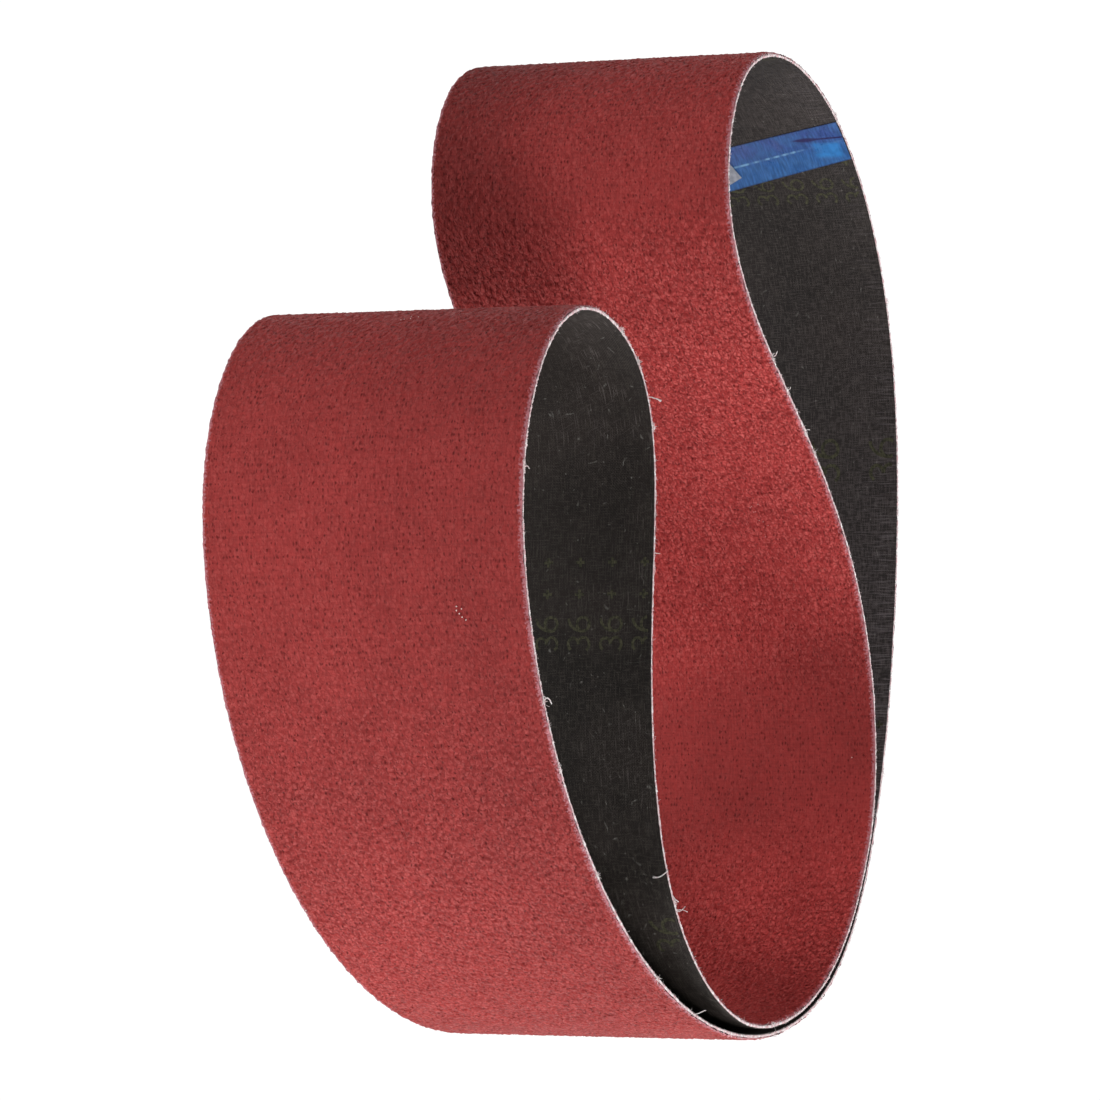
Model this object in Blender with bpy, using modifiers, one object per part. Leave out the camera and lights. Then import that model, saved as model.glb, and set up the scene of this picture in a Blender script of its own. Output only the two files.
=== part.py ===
# Sanding belt: an endless loop of coated-abrasive cloth, standing on its cut edge.
#
# The strip is one piece: a woven cloth backing with a coat of coarse grain on its outer face.
# Its two ends are cut at a slant, butted together, and held by a splice tape glued on the back.
# The loop stands free and has settled into a kidney shape: an outer wall round the back, a lobe
# at each end, and an inner wall that leans against the outer one on the right.
#
# Frame: metres, +Z up across the belt's width. Origin at the middle of the footprint, on the
# surface the belt stands on. +X runs from the open mouth of the kidney towards its closed side.

import math

import bpy
import bmesh
import numpy as np

# ---------------------------------------------------------------- driving dimensions (metres)
BELT_WIDTH = 0.100        # across the belt, so its height as it stands
BELT_LENGTH = 1.525       # once round the loop, along the cloth
CLOTH_T = 0.0010          # woven backing
GRAIN_T = 0.0008          # grain and resin on the outer face
STRIP_T = CLOTH_T + GRAIN_T

JOINT_ANGLE = math.radians(75.5)   # between the butt joint and the belt's edge
JOINT_KERF = 0.0003                # hairline between the two cut ends
JOINT_AT = 0.0354                  # along the loop from the first way point, at mid-height

TAPE_WIDTH = 0.0175       # square to the joint
TAPE_T = 0.00015          # polyester film
TAPE_GAP = 0.0003         # between the film and the cloth
TAPE_INSET = 0.0004       # film stops short of the cut edges

WALL_GAP = 0.0008         # air left where the inner wall leans on the outer one
LEAN_BLEND = 0.0006       # how gently it comes to lean

SEGMENTS = 320            # steps along the strip
TAPE_SEGMENTS = 12
TABLE = 6000              # samples of the loop's centre line

# Way points of the loop in plan, in millimetres: the cloth's middle, clockwise from above.
WAY_POINTS = (
    (-142, 90), (-86, 143), (-8, 154), (90, 129),      # round the back
    (141, 81), (148, -2), (111, -86),                  # closed side
    (45, -142), (-28, -153), (-67, -115), (-46, -64),  # near lobe
    (24, -62), (102, -50), (145, 6),                   # inner wall, near half
    (140, 78), (90, 126), (19, 118),                   # inner wall, far half
    (-44, 58), (-100, 7), (-145, 23),                  # far lobe
)
OUTER_SPANS = range(2, 7)     # way-point spans of the outer wall beside the lean
INNER_SPANS = range(12, 16)   # way-point spans of the inner wall that leans on it


# ---------------------------------------------------------------- the loop in plan
def closed_spline(points, samples):
    """A closed cubic spline through the points, and the span that each sample lies in."""
    p = np.array(points, dtype=float)
    n = len(p)
    h = np.sqrt(np.linalg.norm(np.roll(p, -1, axis=0) - p, axis=1))
    a = np.zeros((n, n))
    rhs = np.zeros((n, 2))
    for i in range(n):
        before, after = h[i - 1], h[i]
        a[i, i - 1] += before
        a[i, i] += 2 * (before + after)
        a[i, (i + 1) % n] += after
        rhs[i] = 6 * ((p[(i + 1) % n] - p[i]) / after - (p[i] - p[i - 1]) / before)
    m = np.linalg.solve(a, rhs)
    knots = np.concatenate([[0], np.cumsum(h)])
    u = np.linspace(0, knots[-1], samples, endpoint=False)
    k = np.searchsorted(knots, u, side="right") - 1
    span = h[k][:, None]
    x0 = (u - knots[k])[:, None]
    x1 = span - x0
    j = (k + 1) % n
    curve = (
        m[k] * x1**3 / (6 * span)
        + m[j] * x0**3 / (6 * span)
        + (p[k] / span - m[k] * span / 6) * x1
        + (p[j] / span - m[j] * span / 6) * x0
    )
    return curve, k


def evenly(curve, samples):
    """The same closed curve with samples at equal steps along it, and its length."""
    c = np.vstack([curve, curve[:1]])
    s = np.concatenate([[0], np.cumsum(np.linalg.norm(np.diff(c, axis=0), axis=1))])
    u = np.linspace(0, s[-1], samples, endpoint=False)
    return np.stack([np.interp(u, s, c[:, 0]), np.interp(u, s, c[:, 1])], axis=1), s[-1]


def outward(curve):
    """Unit normals that point out of the loop, which runs clockwise."""
    d = np.roll(curve, -1, axis=0) - np.roll(curve, 1, axis=0)
    d /= np.linalg.norm(d, axis=1)[:, None]
    return np.stack([-d[:, 1], d[:, 0]], axis=1)


def lean(curve, outer, inner):
    """Keeps the inner wall's back clear of the outer wall's back where the two would meet."""
    wall = curve[outer]
    inward = -outward(curve)[outer]
    least = CLOTH_T + WALL_GAP
    out = curve.copy()
    for i in np.nonzero(inner)[0]:
        gap = curve[i] - wall
        q = int(np.argmin((gap**2).sum(axis=1)))
        short = (least - float(gap[q] @ inward[q])) / LEAN_BLEND
        out[i] += inward[q] * LEAN_BLEND * math.log1p(math.exp(min(max(short, -50), 50)))
    return out


def loop_centre_line():
    """The cloth's middle in plan: TABLE points at equal steps, BELT_LENGTH round, centred."""
    curve, span = closed_spline(np.array(WAY_POINTS) * 0.001, TABLE)
    curve = lean(curve, np.isin(span, list(OUTER_SPANS)), np.isin(span, list(INNER_SPANS)))
    curve, length = evenly(curve, TABLE)
    curve, length = evenly(curve * BELT_LENGTH / length, TABLE)
    skin = curve + outward(curve) * (CLOTH_T / 2 + GRAIN_T)
    return curve - (skin.min(axis=0) + skin.max(axis=0)) / 2


CENTRE = loop_centre_line()
NORMAL = outward(CENTRE)


def on_loop(s, offset):
    """Plan point at a distance s from the joint, moved out of the loop by offset."""
    t = ((s + JOINT_AT) / BELT_LENGTH % 1.0) * TABLE
    i = int(t) % TABLE
    f = t - int(t)
    p = CENTRE[i] * (1 - f) + CENTRE[(i + 1) % TABLE] * f
    n = NORMAL[i] * (1 - f) + NORMAL[(i + 1) % TABLE] * f
    n = n / np.linalg.norm(n)
    return float(p[0] + n[0] * offset), float(p[1] + n[1] * offset)


# ---------------------------------------------------------------- materials
def principled(name, colour, roughness, specular=0.5):
    mat = bpy.data.materials.new(name)
    mat.use_nodes = True
    shader = mat.node_tree.nodes["Principled BSDF"]
    shader.inputs["Base Color"].default_value = (*colour, 1.0)
    shader.inputs["Roughness"].default_value = roughness
    shader.inputs["Metallic"].default_value = 0.0
    shader.inputs["Specular IOR Level"].default_value = specular
    mat.diffuse_color = (*colour, 1.0)
    return mat


# ---------------------------------------------------------------- building
def flat_strip(name, start, end, low, high, steps, slant):
    """A flat strip in the X-Y plane, X along the belt and Y across it, with both ends cut
    on the slant through (start, mid-width) and (end, mid-width)."""
    reach = (high - low) / 2 / math.tan(slant) + 0.002
    length = end - start + 2 * reach
    bm = bmesh.new()
    bmesh.ops.create_grid(bm, x_segments=steps, y_segments=1, size=0.5)
    middle = (start + end) / 2
    for v in bm.verts:
        v.co.x = middle + v.co.x * length
        v.co.y = (low + high) / 2 + v.co.y * (high - low)
    across = (math.sin(slant), math.cos(slant), 0.0)
    for x, clear_inner, clear_outer in ((start, True, False), (end, False, True)):
        bmesh.ops.bisect_plane(
            bm,
            geom=bm.verts[:] + bm.edges[:] + bm.faces[:],
            dist=1e-7,
            plane_co=(x, (low + high) / 2, 0.0),
            plane_no=across,
            clear_inner=clear_inner,
            clear_outer=clear_outer,
        )
    mesh = bpy.data.meshes.new(name)
    bm.to_mesh(mesh)
    bm.free()
    return mesh


def roll_up(mesh, offset):
    """Wraps the flat strip round the loop: X goes along the loop and Y becomes height."""
    for v in mesh.vertices:
        height = v.co.y
        x, y = on_loop(v.co.x, offset)
        v.co = (x, y, height)
    mesh.update()


def solid_sheet(name, mesh, thickness, inner_share, materials, collection):
    """Gives the sheet its thickness: inner_share of it goes inside the loop."""
    for mat in materials:
        mesh.materials.append(mat)
    obj = bpy.data.objects.new(name, mesh)
    collection.objects.link(obj)
    solidify = obj.modifiers.new("thickness", "SOLIDIFY")
    solidify.thickness = thickness
    solidify.offset = 1.0 - 2.0 * inner_share
    solidify.use_even_offset = False
    solidify.use_rim = True
    solidify.material_offset = 1 if len(materials) > 1 else 0
    solidify.material_offset_rim = 2 if len(materials) > 2 else 0
    mesh.shade_smooth()
    mesh.set_sharp_from_angle(angle=math.radians(40))
    return obj


def facing_out(mesh):
    """Turns the sheet's faces so that they look out of the loop."""
    bm = bmesh.new()
    bm.from_mesh(mesh)
    face = max(bm.faces, key=lambda f: f.calc_center_median().y)
    if face.normal.y < 0:
        bmesh.ops.reverse_faces(bm, faces=bm.faces[:])
    bm.to_mesh(mesh)
    bm.free()


def main():
    for old in list(bpy.data.objects):
        bpy.data.objects.remove(old, do_unlink=True)
    parts = bpy.data.collections.new("sanding_belt")
    bpy.context.scene.collection.children.link(parts)

    grain = principled("abrasive_grain", (0.42, 0.045, 0.040), 0.62)
    cloth = principled("cloth_backing", (0.022, 0.020, 0.018), 0.75)
    yarn = principled("cut_yarn", (0.80, 0.70, 0.66), 0.90)
    film = principled("splice_film", (0.035, 0.12, 0.45), 0.28)

    # the strip: cut ends meet at the joint, s = 0 at mid-height
    strip = flat_strip(
        "abrasive_strip",
        start=JOINT_KERF / 2,
        end=BELT_LENGTH - JOINT_KERF / 2,
        low=0.0,
        high=BELT_WIDTH,
        steps=SEGMENTS,
        slant=JOINT_ANGLE,
    )
    roll_up(strip, 0.0)
    facing_out(strip)
    solid_sheet("abrasive_strip", strip, STRIP_T, CLOTH_T / 2 / STRIP_T, (grain, cloth, yarn), parts)

    # the splice tape, across the joint on the back of the cloth
    half = TAPE_WIDTH / 2 / math.sin(JOINT_ANGLE)
    tape = flat_strip(
        "splice_tape",
        start=-half,
        end=half,
        low=TAPE_INSET,
        high=BELT_WIDTH - TAPE_INSET,
        steps=TAPE_SEGMENTS,
        slant=JOINT_ANGLE,
    )
    roll_up(tape, -(CLOTH_T / 2 + TAPE_GAP))
    facing_out(tape)
    solid_sheet("splice_tape", tape, TAPE_T, 1.0, (film,), parts)


main()
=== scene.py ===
# Looks of the sanding belt: grain coat, woven backing, cut edges, splice tape, floor, light, camera.
#
# Everything on the belt is laid out in strip coordinates, in millimetres:
#   s    distance along the loop from the butt joint, clockwise seen from above
#   z    across the belt, which is the height as it stands
#   off  out of the cloth's middle, towards the grain
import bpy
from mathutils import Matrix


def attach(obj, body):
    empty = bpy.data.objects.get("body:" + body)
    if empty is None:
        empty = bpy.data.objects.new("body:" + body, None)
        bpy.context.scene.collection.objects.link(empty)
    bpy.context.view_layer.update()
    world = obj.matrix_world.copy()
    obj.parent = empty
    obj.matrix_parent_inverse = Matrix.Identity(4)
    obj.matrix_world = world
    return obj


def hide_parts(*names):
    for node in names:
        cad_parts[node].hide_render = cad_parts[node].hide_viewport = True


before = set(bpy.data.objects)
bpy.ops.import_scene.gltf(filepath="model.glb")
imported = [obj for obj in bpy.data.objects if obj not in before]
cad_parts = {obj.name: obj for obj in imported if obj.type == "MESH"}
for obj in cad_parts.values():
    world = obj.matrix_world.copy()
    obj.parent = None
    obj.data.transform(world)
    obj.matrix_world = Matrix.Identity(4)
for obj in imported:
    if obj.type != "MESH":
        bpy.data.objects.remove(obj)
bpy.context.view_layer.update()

import math

import bpy
import numpy as np
from mathutils import Matrix, Vector

# ---------------------------------------------------------------- dimensions (metres), as in the CAD
BELT_WIDTH = 0.100
BELT_LENGTH = 1.525
CLOTH_T = 0.0010
GRAIN_T = 0.0008
JOINT_ANGLE = math.radians(75.5)
JOINT_KERF = 0.0003
JOINT_AT = 0.0354
WALL_GAP = 0.0008
LEAN_BLEND = 0.0006
TABLE = 6000
WAY_POINTS = (
    (-142, 90), (-86, 143), (-8, 154), (90, 129),
    (141, 81), (148, -2), (111, -86),
    (45, -142), (-28, -153), (-67, -115), (-46, -64),
    (24, -62), (102, -50), (145, 6),
    (140, 78), (90, 126), (19, 118),
    (-44, 58), (-100, 7), (-145, 23),
)
OUTER_SPANS = range(2, 7)
INNER_SPANS = range(12, 16)

MM = 0.001
LOOP_MM = BELT_LENGTH * 1000
WIDTH_MM = BELT_WIDTH * 1000
TAPE_HALF = 8.75 / math.sin(JOINT_ANGLE)      # along the belt


# ---------------------------------------------------------------- the loop in plan
def closed_spline(points, samples):
    p = np.array(points, dtype=float)
    n = len(p)
    h = np.sqrt(np.linalg.norm(np.roll(p, -1, axis=0) - p, axis=1))
    a = np.zeros((n, n))
    rhs = np.zeros((n, 2))
    for i in range(n):
        before, after = h[i - 1], h[i]
        a[i, i - 1] += before
        a[i, i] += 2 * (before + after)
        a[i, (i + 1) % n] += after
        rhs[i] = 6 * ((p[(i + 1) % n] - p[i]) / after - (p[i] - p[i - 1]) / before)
    m = np.linalg.solve(a, rhs)
    knots = np.concatenate([[0], np.cumsum(h)])
    u = np.linspace(0, knots[-1], samples, endpoint=False)
    k = np.searchsorted(knots, u, side="right") - 1
    span = h[k][:, None]
    x0 = (u - knots[k])[:, None]
    x1 = span - x0
    j = (k + 1) % n
    curve = (
        m[k] * x1**3 / (6 * span)
        + m[j] * x0**3 / (6 * span)
        + (p[k] / span - m[k] * span / 6) * x1
        + (p[j] / span - m[j] * span / 6) * x0
    )
    return curve, k


def evenly(curve, samples):
    c = np.vstack([curve, curve[:1]])
    s = np.concatenate([[0], np.cumsum(np.linalg.norm(np.diff(c, axis=0), axis=1))])
    u = np.linspace(0, s[-1], samples, endpoint=False)
    return np.stack([np.interp(u, s, c[:, 0]), np.interp(u, s, c[:, 1])], axis=1), s[-1]


def outward(curve):
    d = np.roll(curve, -1, axis=0) - np.roll(curve, 1, axis=0)
    d /= np.linalg.norm(d, axis=1)[:, None]
    return np.stack([-d[:, 1], d[:, 0]], axis=1)


def lean(curve, outer, inner):
    wall = curve[outer]
    inward = -outward(curve)[outer]
    least = CLOTH_T + WALL_GAP
    out = curve.copy()
    for i in np.nonzero(inner)[0]:
        gap = curve[i] - wall
        q = int(np.argmin((gap**2).sum(axis=1)))
        short = (least - float(gap[q] @ inward[q])) / LEAN_BLEND
        out[i] += inward[q] * LEAN_BLEND * math.log1p(math.exp(min(max(short, -50), 50)))
    return out


def loop_centre_line():
    curve, span = closed_spline(np.array(WAY_POINTS) * 0.001, TABLE)
    curve = lean(curve, np.isin(span, list(OUTER_SPANS)), np.isin(span, list(INNER_SPANS)))
    curve, length = evenly(curve, TABLE)
    curve, length = evenly(curve * BELT_LENGTH / length, TABLE)
    skin = curve + outward(curve) * (CLOTH_T / 2 + GRAIN_T)
    return curve - (skin.min(axis=0) + skin.max(axis=0)) / 2


CENTRE = loop_centre_line()
NORMAL = outward(CENTRE)


def plan_of(s):
    """Plan points in metres and unit outward normals at distances s (mm) from the joint."""
    t = ((np.asarray(s, float) * MM + JOINT_AT) / BELT_LENGTH % 1.0) * TABLE
    i = np.floor(t).astype(int) % TABLE
    f = (t - np.floor(t))[..., None]
    p = CENTRE[i] * (1 - f) + CENTRE[(i + 1) % TABLE] * f
    n = NORMAL[i] * (1 - f) + NORMAL[(i + 1) % TABLE] * f
    return p, n / np.linalg.norm(n, axis=-1, keepdims=True)


def place(s, z, off):
    """Points in metres of strip coordinates in mm; the three arrays broadcast."""
    s, z, off = np.broadcast_arrays(*(np.asarray(v, float) for v in (s, z, off)))
    p, n = plan_of(s)
    xy = p + n * (off * MM)[..., None]
    return np.concatenate([xy, (z * MM)[..., None]], axis=-1)


def slant(z):
    """How far along the belt the butt joint lies at height z."""
    return -(np.asarray(z, float) - WIDTH_MM / 2) / math.tan(JOINT_ANGLE)


def smooth(low, high, x):
    t = np.clip((np.asarray(x, float) - low) / (high - low), 0, 1)
    return t * t * (3 - 2 * t)


# ---------------------------------------------------------------- seeded value noise
def lattice(i, j, seed):
    h = (i.astype(np.int64) * 374761393 + j.astype(np.int64) * 668265263 + seed * 982451653) & 0xFFFFFFFF
    h = ((h ^ (h >> 13)) * 1274126177) & 0xFFFFFFFF
    h = ((h ^ (h >> 16)) * 2246822519) & 0xFFFFFFFF
    return ((h ^ (h >> 15)) & 0xFFFFFF) / float(0xFFFFFF)


def noise(x, y, cell, seed):
    """Smooth noise from 0 to 1, with features about cell wide."""
    x, y = np.broadcast_arrays(np.asarray(x, float) / cell, np.asarray(y, float) / cell)
    i, j = np.floor(x).astype(np.int64), np.floor(y).astype(np.int64)
    u, v = x - i, y - j
    u, v = u * u * (3 - 2 * u), v * v * (3 - 2 * v)
    low = lattice(i, j, seed) * (1 - u) + lattice(i + 1, j, seed) * u
    high = lattice(i, j + 1, seed) * (1 - u) + lattice(i + 1, j + 1, seed) * u
    return low * (1 - v) + high * v


# ---------------------------------------------------------------- node helpers
def add(tree, kind, **values):
    node = tree.nodes.new(kind)
    for key, value in values.items():
        setattr(node, key, value)
    return node


def feed(tree, socket, value):
    if isinstance(value, bpy.types.NodeSocket):
        tree.links.new(value, socket)
    elif value is not None:
        socket.default_value = value


def maths(tree, op, a, b=None, c=None, clamp=False):
    node = add(tree, "ShaderNodeMath", operation=op, use_clamp=clamp)
    for socket, value in zip(node.inputs, (a, b, c)):
        feed(tree, socket, value)
    return node.outputs[0]


def vector(tree, op, a, b=None, c=None, scale=None):
    node = add(tree, "ShaderNodeVectorMath", operation=op)
    for socket, value in zip(node.inputs, (a, b, c)):
        feed(tree, socket, value)
    if scale is not None:
        feed(tree, node.inputs["Scale"], scale)
    return node.outputs["Value"] if op in ("LENGTH", "DOT_PRODUCT", "DISTANCE") else node.outputs[0]


def ramp(tree, value, low, high, out_low=0.0, out_high=1.0, smoothly=True):
    node = add(tree, "ShaderNodeMapRange", interpolation_type="SMOOTHSTEP" if smoothly else "LINEAR")
    node.clamp = True
    feed(tree, node.inputs["Value"], value)
    feed(tree, node.inputs["From Min"], low)
    feed(tree, node.inputs["From Max"], high)
    feed(tree, node.inputs["To Min"], out_low)
    feed(tree, node.inputs["To Max"], out_high)
    return node.outputs["Result"]


def noises(tree, where, size, detail=2.0, rough=0.5, distortion=0.0):
    node = add(tree, "ShaderNodeTexNoise", noise_dimensions="2D")
    feed(tree, node.inputs["Vector"], where)
    node.inputs["Scale"].default_value = 1.0 / size
    node.inputs["Detail"].default_value = detail
    node.inputs["Roughness"].default_value = rough
    node.inputs["Distortion"].default_value = distortion
    return node


def cells(tree, where, size, randomness=1.0, feature="F1"):
    node = add(tree, "ShaderNodeTexVoronoi", voronoi_dimensions="2D", feature=feature)
    feed(tree, node.inputs["Vector"], where)
    node.inputs["Scale"].default_value = 1.0 / size
    node.inputs["Randomness"].default_value = randomness
    return node


def first_of(tree, colour):
    node = add(tree, "ShaderNodeSeparateXYZ")
    tree.links.new(colour, node.inputs[0])
    return node.outputs


def wandering(tree, where):
    """Strip coordinates pushed about, so that no cell pattern looks regular. The grain runs a
    little longer along the belt than across it."""
    wander = noises(tree, where, 1.3, 0.0)
    moved = vector(tree, "MULTIPLY_ADD", wander.outputs["Color"], (1.3, 1.3, 0.0), where)
    return vector(tree, "MULTIPLY", moved, (0.70, 1.10, 0.0))


def swell(tree, where):
    """How high the coat's broad lumps stand, used for its shape."""
    moved = wandering(tree, where)
    broad = noises(tree, moved, 1.40, 1.0, 0.45)
    big = cells(tree, moved, 1.20, 1.0, "SMOOTH_F1")
    big.inputs["Smoothness"].default_value = 0.35
    dome = maths(tree, "SUBTRACT", 1.0, maths(tree, "POWER", big.outputs["Distance"], 1.6))
    return maths(tree, "MULTIPLY_ADD", broad.outputs["Fac"], 1.5, maths(tree, "MULTIPLY", dome, 0.75))


def crystals(tree, where):
    """The grain's own small crystals: how high they stand, how much of a pit there is between
    them, and each crystal's own numbers."""
    moved = wandering(tree, where)
    small = cells(tree, moved, 0.90, 1.0)
    own = first_of(tree, small.outputs["Color"])
    high = maths(tree, "SUBTRACT", 1.0, maths(tree, "POWER", small.outputs["Distance"], 1.5))
    high = maths(tree, "MULTIPLY", high, maths(tree, "MULTIPLY_ADD", own[0], 0.5, 0.45))
    # pits in loose files along the belt, some deep and some hardly there
    pits = cells(tree, vector(tree, "MULTIPLY_ADD", moved, (0.30, 0.30, 0.0), vector(tree, "MULTIPLY", where, (0.38, 0.72, 0.0))),
                 1.10, 1.0)
    pit = first_of(tree, pits.outputs["Color"])
    reach = maths(tree, "MULTIPLY_ADD", pit[1], 0.34, 0.20)
    hole = maths(tree, "MULTIPLY", ramp(tree, pits.outputs["Distance"], 0.06, reach, 1.0, 0.0),
                 ramp(tree, pit[0], 0.20, 1.0))
    return high, hole, own


def sampled(s, z):
    """The lumps' height at strip points, worked out by the nodes of swell."""
    count = s.size
    mesh = bpy.data.meshes.new("samples")
    mesh.vertices.add(count)
    spots = np.stack([s.ravel(), z.ravel(), np.zeros(count)], axis=1).astype(np.float32)
    mesh.attributes.new("strip", "FLOAT_VECTOR", "POINT").data.foreach_set("vector", spots.ravel())
    obj = bpy.data.objects.new("samples", mesh)
    bpy.context.scene.collection.objects.link(obj)
    tree = bpy.data.node_groups.new("lump_shape", "GeometryNodeTree")
    tree.interface.new_socket("Geometry", in_out="INPUT", socket_type="NodeSocketGeometry")
    tree.interface.new_socket("Geometry", in_out="OUTPUT", socket_type="NodeSocketGeometry")
    entry, end = tree.nodes.new("NodeGroupInput"), tree.nodes.new("NodeGroupOutput")
    strip = add(tree, "GeometryNodeInputNamedAttribute", data_type="FLOAT_VECTOR")
    strip.inputs["Name"].default_value = "strip"
    low = swell(tree, strip.outputs["Attribute"])
    store = add(tree, "GeometryNodeStoreNamedAttribute", data_type="FLOAT", domain="POINT")
    store.inputs["Name"].default_value = "high"
    tree.links.new(entry.outputs[0], store.inputs["Geometry"])
    tree.links.new(low, store.inputs["Value"])
    tree.links.new(store.outputs["Geometry"], end.inputs[0])
    obj.modifiers.new("nodes", "NODES").node_group = tree
    graph = bpy.context.evaluated_depsgraph_get()
    done = obj.evaluated_get(graph).to_mesh()
    found = np.empty(count, np.float32)
    done.attributes["high"].data.foreach_get("value", found)
    obj.evaluated_get(graph).to_mesh_clear()
    bpy.data.objects.remove(obj, do_unlink=True)
    bpy.data.meshes.remove(mesh)
    bpy.data.node_groups.remove(tree)
    return found.reshape(s.shape).astype(float)


# ---------------------------------------------------------------- mesh helpers
def mesh_object(name, verts, faces, materials, strip=None, face_material=None, normals=None, smoothed=True):
    mesh = bpy.data.meshes.new(name)
    verts = np.asarray(verts, np.float64)
    quads = np.asarray([f for f in faces if len(f) == 4] if not isinstance(faces, np.ndarray) else faces)
    if isinstance(faces, np.ndarray):
        mesh.vertices.add(len(verts))
        mesh.vertices.foreach_set("co", verts.astype(np.float32).ravel())
        mesh.loops.add(quads.size)
        mesh.loops.foreach_set("vertex_index", quads.astype(np.int32).ravel())
        mesh.polygons.add(len(quads))
        mesh.polygons.foreach_set("loop_start", np.arange(0, quads.size, quads.shape[1], dtype=np.int32))
        mesh.update(calc_edges=True)
    else:
        mesh.from_pydata([tuple(v) for v in verts], [], faces)
        mesh.update()
    mesh.validate()
    if strip is not None:
        mesh.attributes.new("strip", "FLOAT_VECTOR", "POINT").data.foreach_set(
            "vector", np.asarray(strip, np.float32).ravel()
        )
    for mat in materials:
        mesh.materials.append(mat)
    if face_material is not None:
        mesh.polygons.foreach_set("material_index", np.asarray(face_material, np.int32))
    if smoothed:
        mesh.shade_smooth()
    if normals is not None:
        mesh.normals_split_custom_set_from_vertices([tuple(n) for n in normals])
    obj = bpy.data.objects.new(name, mesh)
    bpy.context.scene.collection.objects.link(obj)
    return obj


def grid_quads(first, columns, rows, flip=False):
    """Quads of a grid whose vertices count up along its rows first. Unflipped they look out."""
    i, j = np.meshgrid(np.arange(columns - 1), np.arange(rows - 1), indexing="ij")
    a = first + i * rows + j
    quad = np.stack([a, a + 1, a + rows + 1, a + rows], axis=-1).reshape(-1, 4)
    return quad[:, ::-1] if flip else quad


def slab(name, outer_s, outer_z, outer_off, inner_s, inner_z, inner_off, materials, rim_material=0,
         inner_material=0, normals=None, coat=None):
    """A closed sheet from an outer and an inner grid with as many columns."""
    columns, rows = outer_s.shape
    inner_rows = inner_s.shape[1]
    verts = np.concatenate([
        place(outer_s, outer_z, outer_off).reshape(-1, 3),
        place(inner_s, inner_z, inner_off).reshape(-1, 3),
    ])
    strip = np.concatenate([
        np.stack([outer_s, outer_z, outer_off], axis=-1).reshape(-1, 3),
        np.stack([inner_s, inner_z, np.broadcast_to(inner_off, inner_s.shape)], axis=-1).reshape(-1, 3),
    ])
    base = columns * rows
    out = grid_quads(0, columns, rows)
    back = grid_quads(base, columns, inner_rows, flip=True)
    i = np.arange(columns - 1)
    o_top, o_low = i * rows + rows - 1, i * rows
    n_top, n_low = base + i * inner_rows + inner_rows - 1, base + i * inner_rows
    top = np.stack([o_top, n_top, n_top + inner_rows, o_top + rows], axis=1)
    low = np.stack([o_low, o_low + rows, n_low + inner_rows, n_low], axis=1)
    quads = np.concatenate([out, back, top, low])
    last = columns - 1
    start = list(range(base, base + inner_rows)) + list(range(rows - 1, -1, -1))
    finish = list(range(last * rows, last * rows + rows)) + list(
        range(base + last * inner_rows + inner_rows - 1, base + last * inner_rows - 1, -1)
    )
    mesh = bpy.data.meshes.new(name)
    mesh.vertices.add(len(verts))
    mesh.vertices.foreach_set("co", verts.astype(np.float32).ravel())
    corners = np.concatenate([quads.ravel(), start, finish]).astype(np.int32)
    mesh.loops.add(len(corners))
    mesh.loops.foreach_set("vertex_index", corners)
    starts = np.concatenate([np.arange(len(quads)) * 4, [len(quads) * 4, len(quads) * 4 + len(start)]])
    mesh.polygons.add(len(starts))
    mesh.polygons.foreach_set("loop_start", starts.astype(np.int32))
    kind = np.concatenate([
        np.zeros(len(out)), np.full(len(back), inner_material),
        np.full(len(top) + len(low) + 2, rim_material),
    ]).astype(np.int32)
    mesh.update(calc_edges=True)
    for mat in materials:
        mesh.materials.append(mat)
    mesh.polygons.foreach_set("material_index", kind)
    mesh.attributes.new("strip", "FLOAT_VECTOR", "POINT").data.foreach_set(
        "vector", strip.astype(np.float32).ravel()
    )
    if coat is not None:
        plain = np.broadcast_to(np.array([1.28, 1.0, 1.0]), (inner_s.size, 3))
        mesh.attributes.new("coat", "FLOAT_VECTOR", "POINT").data.foreach_set(
            "vector", np.concatenate([coat.reshape(-1, 3), plain]).astype(np.float32).ravel()
        )
    mesh.shade_smooth()
    if normals is not None:
        _, n = plan_of(inner_s.ravel())
        inside = np.concatenate([-n, np.zeros((len(n), 1))], axis=1)
        mesh.normals_split_custom_set_from_vertices(np.concatenate([normals.reshape(-1, 3), inside]).tolist())
    else:
        mesh.set_sharp_from_angle(angle=math.radians(50))
    obj = bpy.data.objects.new(name, mesh)
    bpy.context.scene.collection.objects.link(obj)
    return obj


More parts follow.
